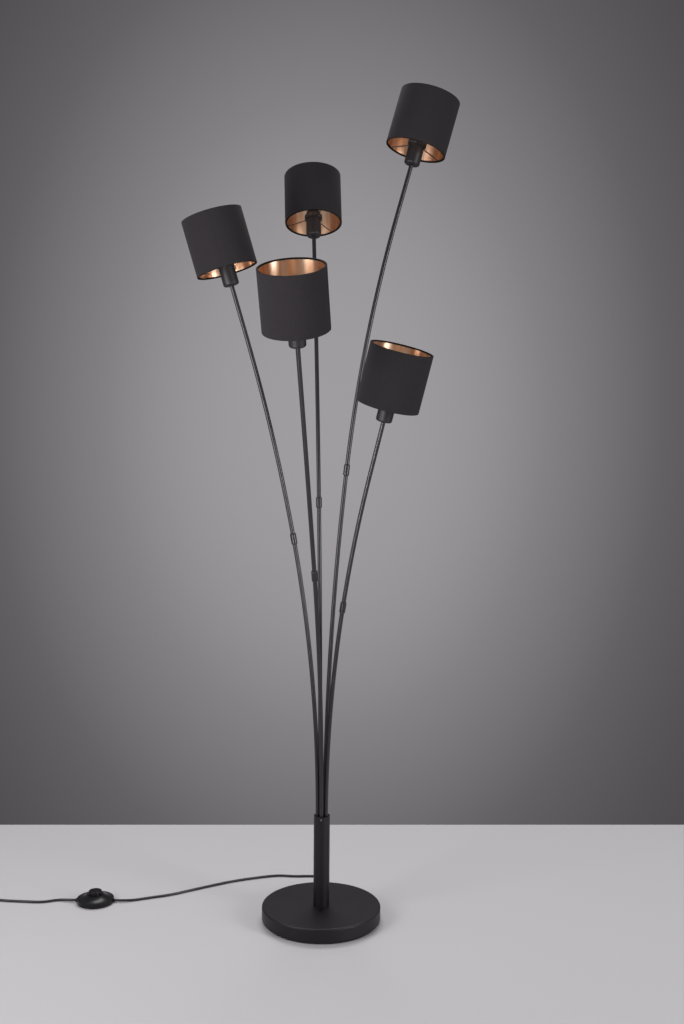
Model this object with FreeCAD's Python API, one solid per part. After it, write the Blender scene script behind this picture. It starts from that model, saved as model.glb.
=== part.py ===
import FreeCAD, Part

import math
import os

from FreeCAD import Vector

# Tree floor lamp. Five bent tube arms stand in one short pole on a round weighted base, and each
# carries a socket cup, a lampholder, a bulb and a cylinder shade. Millimetres, +Z up. The origin is
# on the floor under the centre of the base, and -Y is the side that the lamp is looked at from.

# Base
base_diameter = 230.0
base_height = 30.0
base_edge_radius = 3.0
base_foot_radius = 4.0
shell_wall = 1.5
shell_lip_width = 8.0
pad_thickness = 2.0
pad_edge_inset = 4.5
weight_thickness = 13.0
weight_side_gap = 0.6
weight_chamfer = 2.0

# Pole, with a plate welded in its foot and a threaded spigot that goes down through the base
pole_diameter = 31.0
pole_wall = 1.5
pole_height = 178.5
pole_rim_radius = 0.5
foot_plate_thickness = 4.0
spigot_diameter = 10.0
spigot_bore = 6.5
spigot_clearance = 0.25
spigot_past_nut = 1.5
nut_across_flats = 17.0
nut_height = 8.0
nut_flange_diameter = 24.0
nut_flange_height = 2.0

# Head: the disc in the pole's top that the five arms stand and turn in
head_thickness = 12.0
head_recess = 2.0
head_clearance = 0.05
seat_circle_radius = 8.4
first_seat_angle = 193.0
running_clearance = 0.05
screw_angle = 265.0
screw_drop = 5.0
screw_diameter = 4.0
screw_in_head = 0.5
screw_proud = 0.3
screw_socket = 2.0
screw_socket_depth = 1.0
screw_clearance = 0.03

# Arms
rod_diameter = 8.0
rod_wall = 1.0
collar_diameter = 9.4
collar_height = 2.0
collar_gap = 0.3
rod_straight_end = 100.0
coupler_diameter = 11.4
coupler_length = 22.0
coupler_edge_radius = 2.5
coupler_clearance = 0.05

# Each arm: its seat in the head, counted round from the first one, the way it leans, its lean
# where its two rods join and at its top, the lengths of the rods along their bend, and how far
# the three spokes under its shade are turned. Angles are in degrees, anticlockwise from +X.
arms = {
    "left": dict(seat=0, azimuth=173.3, joint_lean=10.6, top_lean=16.6,
                 lower_length=538.0, upper_length=489.0, spoke_turn=30.0),
    "front": dict(seat=1, azimuth=259.8, joint_lean=19.7, top_lean=21.6,
                  lower_length=487.0, upper_length=436.0, spoke_turn=0.0),
    "short": dict(seat=2, azimuth=321.7, joint_lean=10.3, top_lean=16.7,
                  lower_length=411.5, upper_length=361.5, spoke_turn=67.0),
    "tall": dict(seat=3, azimuth=24.6, joint_lean=6.8, top_lean=16.8,
                 lower_length=667.0, upper_length=594.0, spoke_turn=6.0),
    "back": dict(seat=4, azimuth=96.0, joint_lean=13.1, top_lean=20.4,
                 lower_length=604.0, upper_length=558.0, spoke_turn=72.0),
}

# Lamp head, measured up along its own axis from the underside of the socket cup
cup_diameter = 30.0
cup_height = 35.4
cup_wall = 1.2
cup_floor = 1.5
cup_edge_radius = 4.0
cup_hole_clearance = 0.1
rod_in_holder = 8.0
holder_neck_diameter = 14.0
holder_neck_height = 8.0
holder_body_gap = 0.8
holder_flange_height = 1.6
holder_thread_diameter = 28.0
holder_height = 54.4
wire_hole_diameter = 4.0
socket_clearance = 0.2
socket_depth = 24.0
ring_diameter = 36.0
ring_height = 8.0
ring_edge_radius = 1.0
thread_clearance = 0.1
spider_hub_diameter = 35.0
spider_hub_thickness = 1.4
spoke_diameter = 2.0
spoke_count = 3
shade_wire_diameter = 2.0
shade_wire_inset = 1.2
shade_wire_gap = 0.1
shade_diameter = 116.0
shade_height = 107.0
shade_wall = 1.0
shade_start = 29.2
bulb_diameter = 45.0
bulb_length = 76.0
bulb_cap_diameter = 13.6
bulb_cap_in_socket = 22.0
bulb_neck_diameter = 22.0
bulb_cap_rise = 0.6
bulb_neck_rise = 1.4
bulb_join_angle = 30.0

# Foot switch, on the cord to the left of the base
switch_x = -453.5
switch_y = 73.0
switch_diameter = 73.0
switch_base_height = 8.0
switch_floor = 1.6
switch_wall = 2.0
switch_edge_radius = 2.5
switch_boss_diameter = 7.0
switch_boss_reach = 2.5
switch_cord_height = 4.2
switch_post_diameter = 12.0
switch_post_height = 8.8
cover_height = 9.0
cover_edge_height = 1.0
cover_wall = 1.8
cover_crown_diameter = 33.0
cover_bulge = 1.8
button_diameter = 26.0
button_clearance = 0.3
button_top = 24.5
button_edge_radius = 1.5
button_flange_reach = 1.8
button_flange_thickness = 1.8
button_flange_gap = 0.3
button_bore_diameter = 13.0
button_bore_depth = 5.0

# Cord, its moulded gland in the back of the base, and its plug
cord_diameter = 5.0
gland_angle = 87.0
gland_height = 10.0
gland_nose_length = 22.0
gland_nose_start = 10.0
gland_nose_end = 7.0
gland_neck_diameter = 8.0
gland_neck_clearance = 0.1
gland_collar_diameter = 10.5
gland_collar_thickness = 2.0
gland_overlap = 0.5
plug_relief_length = 16.0
plug_relief_start = 7.0
plug_relief_end = 10.0
plug_shoulder_length = 10.0
plug_body_length = 22.0
plug_width = 26.0
plug_thickness = 14.0
plug_edge_radius = 3.0
pin_diameter = 4.0
pin_length = 19.0
pin_spacing = 19.0
pin_in_body = 10.0
pin_root_diameter = 3.0
pin_tip_radius = 1.0

# The cord's route on the floor, in x and y, chosen by eye. It leaves the gland to the back,
# turns left behind the pole and runs in loose bends to the foot switch, and on to the coil.
lamp_route = [(8, 153, 9.5), (8.5, 173, 3.6), (7.5, 191, 2.5), (0.3, 205, 2.5), (-13, 213.3, 2.5),
              (-32, 213.6, 2.5), (-60.4, 211.2, 2.5), (-95.4, 216.4, 2.5), (-137.3, 203, 2.5),
              (-188, 182.4, 2.5), (-233.5, 155, 2.5), (-274, 129.3, 2.5), (-308.5, 106.7, 2.5),
              (-346, 93, 2.5), (-376, 79.5, 2.6), (-398, 73, 4.2)]
plug_route = [(-507, 73, 4.2), (-529, 78.5, 2.5), (-557, 64.5, 2.5), (-597, 68, 2.5),
              (-640, 71.5, 2.5)]

# Coil of the spare cord: two layers of turns, in along the floor and out again on top
coil_x = -706.0
coil_y = 47.0
coil_inner_radius = 20.0
coil_pitch = 5.6
coil_layer_rise = 5.5
coil_turns_in = 2.75
coil_turns_out = 3.0
coil_tail_drop_length = 14.0
coil_lead_length = 20.0

# Working values: how far a cut runs past a face, how near an edge is to count as found, and the
# spacing of the points that the coil's gap is measured on, past the first stretch of cord
cut_past = 1.0
edge_tolerance = 0.01
gap_check_step = 2.0
gap_check_start = 24.0

os.makedirs("parts", exist_ok=True)
up = Vector(0, 0, 1)
across = Vector(0, 1, 0)
base_radius = base_diameter / 2
pole_radius = pole_diameter / 2
rod_radius = rod_diameter / 2
cord_radius = cord_diameter / 2
pole_top = base_height + pole_height
head_top = pole_top - head_recess
head_bottom = head_top - head_thickness
weight_top = base_height - shell_wall
weight_bottom = weight_top - weight_thickness


def save(name, shape):
    """Writes one piece to its file."""
    shape.exportStep("parts/" + name + ".step")
    print(f"{name}: {len(shape.Solids)} solid, {shape.Volume:.1f} mm3")


def cylinder(diameter, low, high, x=0.0, y=0.0):
    """An upright cylinder from the height low to the height high."""
    return Part.makeCylinder(diameter / 2, high - low, Vector(x, y, low), up)


def turned(profile):
    """A solid turned about Z from an outline of (radius, height) corners. A corner with a third
    value bulges the line that leads to it outwards by that much, as an arc."""
    edges = []
    for start, end in zip(profile, profile[1:] + profile[:1]):
        a = Vector(start[0], 0, start[1])
        b = Vector(end[0], 0, end[1])
        if len(end) == 3:
            side = (b - a).cross(across).normalize()
            edges.append(Part.Arc(a, (a + b) / 2 - side * end[2], b).toShape())
        else:
            edges.append(Part.LineSegment(a, b).toShape())
    return Part.Face(Part.Wire(edges)).revolve(Vector(0, 0, 0), up, 360)


def circles(solid, radius, height):
    """The solid's level circular edges of one radius at one height."""
    found = [edge for edge in solid.Edges if isinstance(edge.Curve, Part.Circle)]
    found = [edge for edge in found if abs(edge.Curve.Center.z - height) < edge_tolerance]
    return [edge for edge in found if abs(edge.Curve.Radius - radius) < edge_tolerance]


def rounded(solid, size, radius, *heights):
    """Rounds the solid's circular edges of one radius, at each of the heights."""
    picked = []
    for height in heights:
        picked += circles(solid, radius, height)
    return solid.makeFillet(size, picked)


def ring_face(centre, direction, outer, inner):
    """A flat ring, or a disc where inner is 0, square to direction."""
    face = Part.Face(Part.Wire(Part.Circle(centre, direction, outer).toShape()))
    if inner > 0:
        face = face.cut(Part.Face(Part.Wire(Part.Circle(centre, direction, inner).toShape())))
    return face


def heading(lean):
    """The direction of a rod that leans by an angle from upright towards +X."""
    return Vector(math.sin(math.radians(lean)), 0, math.cos(math.radians(lean)))


def bent_rod(start, lean, end_lean, length):
    """A tube along an arc from start, and the point that it ends at."""
    radius = length / math.radians(end_lean - lean)
    side = heading(lean + 90)
    centre = start + side * radius
    profile = ring_face(start, heading(lean), rod_radius, rod_radius - rod_wall)
    end = centre - heading(end_lean + 90) * radius
    return profile.revolve(centre, across, end_lean - lean), end


def straight_rod(start, lean, length):
    """A straight tube from start."""
    profile = ring_face(start, heading(lean), rod_radius, rod_radius - rod_wall)
    return profile.extrude(heading(lean) * length)


def on_arm(shape, arm):
    """Turns a shape made for an arm at the origin that leans to +X to where the arm stands."""
    placed = shape.copy()
    placed.rotate(Vector(0, 0, 0), up, arm["azimuth"])
    placed.translate(seat_place(arm))
    return placed


def seat_place(arm):
    """The middle of an arm's seat in the head, as an offset from the pole's axis."""
    angle = math.radians(first_seat_angle + arm["seat"] * 360 / len(arms))
    return Vector(math.cos(angle), math.sin(angle), 0) * seat_circle_radius


def arc_middle(start, tangent_corner, end):
    """The middle point of the arc whose end tangents meet at tangent_corner."""
    half_chord = (end - start) / 2
    height = tangent_corner - (start + end) / 2
    half_turn = math.atan2(height.Length, half_chord.Length)
    return (start + end) / 2 + height * (math.tan(half_turn / 2) / math.tan(half_turn))


def pipe(edges, radius, name):
    """A round cord along edges that run on from each other, with its volume compared."""
    path = Part.Wire(edges)
    start = path.OrderedEdges[0]
    direction = start.tangentAt(start.FirstParameter)
    circle = Part.Wire(Part.Circle(start.valueAt(start.FirstParameter), direction, radius).toShape())
    tube = path.makePipeShell([circle], True, False)
    expected = math.pi * radius**2 * path.Length
    print(f"{name}: {path.Length:.1f} mm long, volume {tube.Volume / expected:.5f} of its section")
    return tube


def route_edges(points, name):
    """Straight runs joined by arcs, each as large as 0.45 of its shorter run allows."""
    points = [Vector(*p) for p in points]
    edges = []
    radii = []
    here = points[0]
    for before, corner, after in zip(points, points[1:], points[2:]):
        back = before - corner
        on = after - corner
        reach = 0.45 * min(back.Length, on.Length)
        radii.append(reach / math.tan((math.pi - back.getAngle(on)) / 2))
        start = corner + back.normalize() * reach
        end = corner + on.normalize() * reach
        edges.append(Part.LineSegment(here, start).toShape())
        edges.append(Part.Arc(start, arc_middle(start, corner, end), end).toShape())
        here = end
    edges.append(Part.LineSegment(here, points[-1]).toShape())
    runs = [(b - a).Length for a, b in zip(points, points[1:])]
    print(f"{name}: radii", [round(r) for r in radii], "runs", [round(r) for r in runs])
    return edges


def biarc_edges(start, start_direction, end, end_direction):
    """Two arcs that leave start and reach end in the given directions."""
    chord = end - start
    both = start_direction + end_direction
    spread = 2 * (1 - start_direction.dot(end_direction))
    if spread < 1e-9:
        reach = chord.dot(chord) / (4 * chord.dot(end_direction))
    else:
        along = chord.dot(both)
        reach = (math.sqrt(along**2 + spread * chord.dot(chord)) - along) / spread
    corner_one = start + start_direction * reach
    corner_two = end - end_direction * reach
    middle = (corner_one + corner_two) / 2
    edges = []
    for a, corner, b in ((start, corner_one, middle), (middle, corner_two, end)):
        edges.append(Part.Arc(a, arc_middle(a, corner, b), b).toShape())
    return edges


# Base: shell, weight and pad
spigot_hole = spigot_diameter / 2 + spigot_clearance
shell = turned([
    (spigot_hole, base_height), (base_radius, base_height), (base_radius, pad_thickness),
    (base_radius - shell_lip_width, pad_thickness),
    (base_radius - shell_lip_width, pad_thickness + shell_wall),
    (base_radius - shell_wall, pad_thickness + shell_wall),
    (base_radius - shell_wall, weight_top), (spigot_hole, weight_top),
])
shell = rounded(shell, base_edge_radius, base_radius, base_height)
shell = rounded(shell, base_edge_radius - shell_wall, base_radius - shell_wall, weight_top)
shell = rounded(shell, base_foot_radius, base_radius, pad_thickness)
shell = rounded(shell, base_foot_radius - shell_wall, base_radius - shell_wall, pad_thickness + shell_wall)

weight_radius = base_radius - shell_wall - weight_side_gap
weight = cylinder(2 * weight_radius, weight_bottom, weight_top)
weight = weight.makeChamfer(weight_chamfer, circles(weight, weight_radius, weight_top))
weight = weight.cut(cylinder(2 * spigot_hole, 0, base_height))
pad = cylinder(base_diameter - 2 * pad_edge_inset, 0, pad_thickness)

# Gland, built on +X and turned to the back of the base
gland_axis = Vector(1, 0, 0)
gland_middle = Vector(0, 0, gland_height)
shell_inside = base_radius - shell_wall
collar_start = shell_inside - gland_collar_thickness
gland = Part.makeCylinder(gland_collar_diameter / 2, gland_collar_thickness,
                          gland_middle + gland_axis * collar_start, gland_axis)
neck_start = shell_inside - gland_overlap
gland = gland.fuse(Part.makeCylinder(gland_neck_diameter / 2, shell_wall + 2 * gland_overlap,
                                     gland_middle + gland_axis * neck_start, gland_axis))
gland = gland.fuse(Part.makeCone(gland_nose_start / 2, gland_nose_end / 2, gland_nose_length,
                                 gland_middle + gland_axis * base_radius, gland_axis)).removeSplitter()
hole_start = shell_inside - cut_past
gland_hole = Part.makeCylinder(gland_neck_diameter / 2 + gland_neck_clearance,
                               shell_wall + 2 * cut_past,
                               gland_middle + gland_axis * hole_start, gland_axis)
for piece in (gland, gland_hole):
    piece.rotate(Vector(0, 0, 0), up, gland_angle)
shell = shell.cut(gland_hole)
gland = gland.cut(shell)
save("base_shell", shell)
save("base_weight", weight)
save("base_pad", pad)
save("cord_gland", gland)

# Pole with its foot plate and spigot, the nut under the weight, the head and its screw
spigot_end = weight_bottom - nut_height - spigot_past_nut
pole = cylinder(pole_diameter, base_height, pole_top)
pole = pole.cut(cylinder(pole_diameter - 2 * pole_wall, base_height + foot_plate_thickness, pole_top))
pole = rounded(pole, pole_rim_radius, pole_radius, pole_top)
pole = pole.fuse(cylinder(spigot_diameter, spigot_end, base_height)).removeSplitter()
pole = pole.cut(cylinder(spigot_bore, spigot_end, pole_top))

nut = Part.Face(Part.makePolygon([
    Vector(math.cos(a), math.sin(a), 0) * (nut_across_flats / math.sqrt(3))
    for a in [math.radians(60 * k) for k in range(7)]])).extrude(up * nut_height)
nut.translate(Vector(0, 0, weight_bottom - nut_height))
nut = nut.fuse(cylinder(nut_flange_diameter, weight_bottom - nut_flange_height, weight_bottom))
nut = nut.removeSplitter().cut(cylinder(spigot_diameter + 2 * thread_clearance, 0, base_height))

head = cylinder(pole_diameter - 2 * pole_wall - 2 * head_clearance, head_bottom, head_top)
for arm in arms.values():
    place = seat_place(arm)
    head = head.cut(cylinder(rod_diameter + 2 * running_clearance, head_bottom - cut_past,
                             head_top + cut_past, place.x, place.y))

screw_way = Vector(math.cos(math.radians(screw_angle)), math.sin(math.radians(screw_angle)), 0)
screw_height = Vector(0, 0, pole_top - screw_drop)
head_radius = pole_radius - pole_wall - head_clearance
screw_tip = screw_height + screw_way * (head_radius - screw_in_head)
screw_length = screw_in_head + head_clearance + pole_wall + screw_proud
screw_hole = Part.makeCylinder(screw_diameter / 2 + screw_clearance, 2 * screw_length, screw_tip,
                               screw_way)
head = head.cut(screw_hole)
pole = pole.cut(screw_hole)
screw = Part.makeCylinder(screw_diameter / 2, screw_length, screw_tip, screw_way)
socket = Part.makeCylinder(screw_socket / 2, screw_socket_depth,
                           screw_tip + screw_way * (screw_length - screw_socket_depth), screw_way)
screw = screw.cut(socket)
save("pole", pole)
save("pole_nut", nut)
save("pole_head", head)
save("head_screw", screw)

# One coupler, upright about the origin
coupler = cylinder(coupler_diameter, -coupler_length / 2, coupler_length / 2)
coupler = rounded(coupler, coupler_edge_radius, coupler_diameter / 2, -coupler_length / 2,
                  coupler_length / 2)
coupler = coupler.cut(cylinder(rod_diameter + 2 * coupler_clearance, -coupler_length, coupler_length))

# One lamp head, upright, with the underside of its cup at the origin
cup_radius = cup_diameter / 2
cup_inside = cup_radius - cup_wall
cup_hole = rod_radius + cup_hole_clearance
cup = turned([(cup_hole, 0), (cup_radius, 0), (cup_radius, cup_height), (cup_inside, cup_height),
              (cup_inside, cup_floor), (cup_hole, cup_floor)])
cup = rounded(cup, cup_edge_radius, cup_radius, 0)
cup = rounded(cup, cup_edge_radius - cup_wall, cup_inside, cup_floor)

neck_top = cup_floor + holder_neck_height
spider_low = cup_height + holder_flange_height
spider_high = spider_low + spider_hub_thickness
thread_radius = holder_thread_diameter / 2
socket_radius = bulb_cap_diameter / 2 + socket_clearance
socket_floor = holder_height - socket_depth
rod_bore = rod_radius + running_clearance
rod_bore_end = rod_in_holder + running_clearance
holder = turned([
    (rod_bore, cup_floor), (holder_neck_diameter / 2, cup_floor), (holder_neck_diameter / 2, neck_top),
    (cup_inside - holder_body_gap, neck_top), (cup_inside - holder_body_gap, cup_height),
    (cup_radius, cup_height), (cup_radius, spider_low), (thread_radius, spider_low),
    (thread_radius, holder_height), (socket_radius, holder_height), (socket_radius, socket_floor),
    (wire_hole_diameter / 2, socket_floor), (wire_hole_diameter / 2, rod_bore_end),
    (rod_bore, rod_bore_end),
])

ring_top = spider_high + ring_height
ring = cylinder(ring_diameter, spider_high, ring_top)
ring = rounded(ring, ring_edge_radius, ring_diameter / 2, spider_high, ring_top)
ring = ring.cut(cylinder(holder_thread_diameter + 2 * thread_clearance, spider_high, ring_top))

shade_radius = shade_diameter / 2
shade_end = shade_start + shade_height
shade = cylinder(shade_diameter, shade_start, shade_end)
shade = shade.cut(cylinder(shade_diameter - 2 * shade_wall, shade_start, shade_end))

wire_radius = shade_wire_diameter / 2
wire_circle = shade_radius - shade_wall - shade_wire_gap - wire_radius
lower_wire = shade_start + shade_wire_inset
spoke_height = (spider_low + spider_high) / 2
hub = cylinder(spider_hub_diameter, spider_low, spider_high)
hub = hub.cut(cylinder(holder_thread_diameter + 2 * thread_clearance, spider_low, spider_high))
spider = hub.fuse(Part.makeTorus(wire_circle, wire_radius, Vector(0, 0, lower_wire), up))
spoke_start = Vector(spider_hub_diameter / 2 - spoke_diameter / 2, 0, spoke_height)
spoke_run = Vector(wire_circle, 0, lower_wire) - spoke_start
for k in range(spoke_count):
    spoke = Part.makeCylinder(spoke_diameter / 2, spoke_run.Length, spoke_start, spoke_run)
    spoke.rotate(Vector(0, 0, 0), up, k * 360 / spoke_count)
    spider = spider.fuse(spoke)
spider = spider.cut(ring).cut(holder)
top_wire = Part.makeTorus(wire_circle, wire_radius, Vector(0, 0, shade_end - shade_wire_inset), up)
frame = Part.makeCompound([spider.Solids[0], top_wire])

bulb_radius = bulb_diameter / 2
bulb_foot = holder_height - bulb_cap_in_socket
bulb_tip = bulb_foot + bulb_length
globe_height = bulb_tip - bulb_radius
join_angle = math.radians(bulb_join_angle)
bulb = turned([
    (0, bulb_foot), (bulb_cap_diameter / 2, bulb_foot),
    (bulb_cap_diameter / 2, holder_height + bulb_cap_rise),
    (bulb_neck_diameter / 2, holder_height + bulb_neck_rise),
    (bulb_radius * math.cos(join_angle), globe_height - bulb_radius * math.sin(join_angle)),
    (0, bulb_tip, bulb_radius * (1 - math.cos((math.pi / 2 + join_angle) / 2))),
])

# The arms
for name, arm in arms.items():
    start = Vector(0, 0, pole_top)
    foot = head_bottom - collar_gap - collar_height
    lower_bend, joint = bent_rod(start, 0, arm["joint_lean"], arm["lower_length"])
    lower = cylinder(rod_diameter, foot, pole_top)
    lower = lower.fuse(cylinder(collar_diameter, foot, foot + collar_height))
    lower = lower.cut(cylinder(rod_diameter - 2 * rod_wall, foot, pole_top))
    lower = lower.fuse(lower_bend).removeSplitter()

    bend_length = arm["upper_length"] - rod_straight_end
    upper_bend, bend_end = bent_rod(joint, arm["joint_lean"], arm["top_lean"], bend_length)
    upper = upper_bend.fuse(straight_rod(bend_end, arm["top_lean"], rod_straight_end + rod_in_holder))
    upper = upper.removeSplitter()
    cup_place = bend_end + heading(arm["top_lean"]) * rod_straight_end

    sleeve = coupler.copy()
    sleeve.rotate(Vector(0, 0, 0), across, arm["joint_lean"])
    sleeve.translate(joint)
    save(name + "_lower_rod", on_arm(lower, arm))
    save(name + "_upper_rod", on_arm(upper, arm))
    save(name + "_coupler", on_arm(sleeve, arm))

    lamp_head = {"socket_cup": cup, "lampholder": holder, "shade_ring": ring, "shade_frame": frame,
                 "shade": shade, "bulb": bulb}
    for part_name, part in lamp_head.items():
        piece = part.copy()
        piece.rotate(Vector(0, 0, 0), up, arm["spoke_turn"])
        piece.rotate(Vector(0, 0, 0), across, arm["top_lean"])
        piece.translate(cup_place)
        save(name + "_" + part_name, on_arm(piece, arm))
    top = on_arm(Part.Vertex(cup_place + heading(arm["top_lean"]) * shade_end), arm).Point
    print(f"{name}: shade top at", [round(c) for c in top])

# Foot switch
switch_place = Vector(switch_x, switch_y, 0)
switch_radius = switch_diameter / 2
post_radius = switch_post_diameter / 2
switch_base = turned([
    (0, 0), (switch_radius, 0), (switch_radius, switch_base_height),
    (switch_radius - switch_wall, switch_base_height), (switch_radius - switch_wall, switch_floor),
    (post_radius, switch_floor), (post_radius, switch_post_height), (0, switch_post_height),
])
switch_base = rounded(switch_base, switch_edge_radius, switch_radius, 0)
boss_start = switch_radius - switch_wall
boss_end = switch_radius + switch_boss_reach
for side in (-1, 1):
    switch_base = switch_base.fuse(Part.makeCylinder(
        switch_boss_diameter / 2, boss_end - boss_start,
        Vector(side * boss_start, 0, switch_cord_height), Vector(side, 0, 0)))
switch_base = switch_base.removeSplitter()

cover_crown = switch_base_height + cover_height
crown_radius = cover_crown_diameter / 2
button_hole = button_diameter / 2 + button_clearance
cover_inside = cover_crown - cover_wall
cover = turned([
    (button_hole, cover_crown), (button_hole, cover_inside), (crown_radius, cover_inside),
    (switch_radius - cover_wall, switch_base_height, cover_bulge), (switch_radius, switch_base_height),
    (switch_radius, switch_base_height + cover_edge_height), (crown_radius, cover_crown, -cover_bulge),
])

flange_top = cover_inside - button_flange_gap
flange_bottom = flange_top - button_flange_thickness
flange_radius = button_hole + button_flange_reach
bore_radius = button_bore_diameter / 2
button = turned([
    (bore_radius, flange_bottom), (flange_radius, flange_bottom), (flange_radius, flange_top),
    (button_diameter / 2, flange_top), (button_diameter / 2, button_top), (0, button_top),
    (0, flange_bottom + button_bore_depth), (bore_radius, flange_bottom + button_bore_depth),
])
button = rounded(button, button_edge_radius, button_diameter / 2, button_top)
for part_name, part in (("base", switch_base), ("cover", cover), ("button", button)):
    part.translate(switch_place)
    save("foot_switch_" + part_name, part)

# Cord from the gland to the foot switch
gland_way = Vector(math.cos(math.radians(gland_angle)), math.sin(math.radians(gland_angle)), 0)
gland_end = gland_way * (base_radius + gland_nose_length) + gland_middle
switch_right = switch_place + Vector(boss_end, 0, switch_cord_height)
switch_left = switch_place + Vector(-boss_end, 0, switch_cord_height)
lamp_points = [tuple(gland_end)] + lamp_route + [tuple(switch_right)]
save("lamp_cord", pipe(route_edges(lamp_points, "lamp_cord"), cord_radius, "lamp_cord"))

# Coil of the spare cord
turn = 2 * math.pi
angle_in = coil_turns_in * turn
angle_out = coil_turns_out * turn
angle_all = angle_in + math.pi + angle_out
growth = coil_pitch / turn


def coil_point(angle):
    """A point of the coil's middle line, at an angle on from where the cord comes in."""
    if angle < angle_in:
        radius = coil_inner_radius + growth * (angle_in - angle)
        rise = 0
    elif angle > angle_in + math.pi:
        radius = coil_inner_radius + growth * (angle - angle_in - math.pi)
        rise = 1
    else:
        done = (angle - angle_in) / math.pi
        radius = coil_inner_radius - growth * math.pi * done * (1 - done)
        rise = done**2 * (3 - 2 * done)
    place = math.pi / 2 + angle
    return Vector(coil_x + radius * math.cos(place), coil_y + radius * math.sin(place),
                  cord_radius + coil_layer_rise * rise)


def coil_direction(angle):
    """The direction of the coil's middle line, square to the radius at its two ends."""
    if angle < 1e-6 or angle > angle_all - 1e-6:
        return Vector(-math.sin(math.pi / 2 + angle), math.cos(math.pi / 2 + angle), 0)
    step = 1e-4
    return (coil_point(angle + step) - coil_point(angle - step)).normalize()


coil_start = coil_point(0)
coil_end = coil_point(angle_all)
in_way = coil_direction(0)
out_way = coil_direction(angle_all)
stops = [k * math.pi / 2 for k in range(round(angle_all / (math.pi / 2)) + 1)]
coil_edges = [Part.LineSegment(coil_start - in_way * cord_diameter, coil_start).toShape()]
for a, b in zip(stops, stops[1:]):
    coil_edges += biarc_edges(coil_point(a), coil_direction(a), coil_point(b), coil_direction(b))
plug_height = plug_thickness / 2
tail = coil_end + out_way * coil_tail_drop_length
tail.z = plug_height
plug_start = tail + out_way * cord_diameter
coil_edges += biarc_edges(coil_end, out_way, tail, out_way)
coil_edges.append(Part.LineSegment(tail, plug_start).toShape())
save("cord_coil", pipe(coil_edges, cord_radius, "cord_coil"))

spots = []
for edge in coil_edges:
    spots += edge.discretize(Distance=gap_check_step)[:-1]
skipped = round(gap_check_start / gap_check_step)
least = min((a - b).Length for i, a in enumerate(spots) for b in spots[i + skipped:])
print(f"cord_coil: least gap to itself {least - cord_diameter:.2f} mm")

# Cord from the foot switch to the coil, and the plug after the coil
coil_meet = coil_start - in_way * cord_diameter
coil_lead = coil_meet - in_way * coil_lead_length
plug_points = [tuple(switch_left)] + plug_route + [tuple(coil_lead), tuple(coil_meet)]
save("plug_cord", pipe(route_edges(plug_points, "plug_cord"), cord_radius, "plug_cord"))

shoulder = plug_relief_length + plug_shoulder_length
front = shoulder + plug_body_length
half_width = plug_width / 2
outline = Part.makePolygon([
    Vector(-plug_relief_end / 2, 0, plug_relief_length), Vector(-half_width, 0, shoulder),
    Vector(-half_width, 0, front), Vector(half_width, 0, front), Vector(half_width, 0, shoulder),
    Vector(plug_relief_end / 2, 0, plug_relief_length),
    Vector(-plug_relief_end / 2, 0, plug_relief_length)])
plug = Part.Face(outline).extrude(across * plug_thickness)
plug.translate(across * (-plug_thickness / 2))
past_relief = (plug_relief_length + shoulder) / 2
plug = plug.makeFillet(plug_edge_radius, [e for e in plug.Edges if e.BoundBox.ZMax > past_relief])
relief = Part.makeCone(plug_relief_start / 2, plug_relief_end / 2, plug_relief_length)
plug = plug.fuse(relief).removeSplitter()
pins = []
for side in (-1, 1):
    pin_x = side * pin_spacing / 2
    pin = cylinder(pin_diameter, front, front + pin_length, pin_x)
    pin = pin.fuse(cylinder(pin_root_diameter, front - pin_in_body, front, pin_x))
    pin = rounded(pin, pin_tip_radius, pin_diameter / 2, front + pin_length)
    plug = plug.cut(pin)
    pins.append(pin)
plug = Part.makeCompound([plug.Solids[0]] + pins)
plug.rotate(Vector(0, 0, 0), Vector(1, 0, 0), 90)
plug.translate(plug_start)
save("mains_plug", plug)
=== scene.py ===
import math

import bmesh
import bpy
from mathutils import Matrix, Vector


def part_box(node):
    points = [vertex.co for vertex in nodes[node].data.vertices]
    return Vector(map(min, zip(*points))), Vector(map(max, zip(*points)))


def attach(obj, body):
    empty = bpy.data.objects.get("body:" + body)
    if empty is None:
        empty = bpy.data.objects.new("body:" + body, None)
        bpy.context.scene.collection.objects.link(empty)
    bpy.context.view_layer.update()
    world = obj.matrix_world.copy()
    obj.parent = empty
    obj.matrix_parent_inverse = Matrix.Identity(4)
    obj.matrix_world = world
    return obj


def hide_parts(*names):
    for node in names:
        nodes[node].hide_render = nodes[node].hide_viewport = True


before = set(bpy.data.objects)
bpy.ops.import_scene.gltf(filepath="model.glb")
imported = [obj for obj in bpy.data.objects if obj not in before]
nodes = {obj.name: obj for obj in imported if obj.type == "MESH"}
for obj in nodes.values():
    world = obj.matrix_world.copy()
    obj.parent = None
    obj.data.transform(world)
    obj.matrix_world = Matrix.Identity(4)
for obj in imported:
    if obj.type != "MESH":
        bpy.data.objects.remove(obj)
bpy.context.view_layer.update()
armNames = ["left", "front", "short", "tall", "back"]
mm = 0.001
fullTurn = 2 * math.pi
onAxis = 0.001  # a lathed outline's radius where it closes on its axis, in mm


# an sRGB hex value as a linear colour
def hexColour(text):
    parts = [int(text[i:i + 2], 16) / 255 for i in (1, 3, 5)]
    linear = [c / 12.92 if c <= 0.04045 else ((c + 0.055) / 1.055) ** 2.4 for c in parts]
    return (*linear, 1.0)


# adds a node, with its inputs as numbers or as sockets to link from
def addNode(tree, kind, inputs=None, **settings):
    node = tree.nodes.new("ShaderNode" + kind)
    for name, value in settings.items():
        setattr(node, name, value)
    for name, value in (inputs or {}).items():
        if isinstance(value, bpy.types.NodeSocket):
            tree.links.new(value, node.inputs[name])
        else:
            node.inputs[name].default_value = value
    return node


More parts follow.
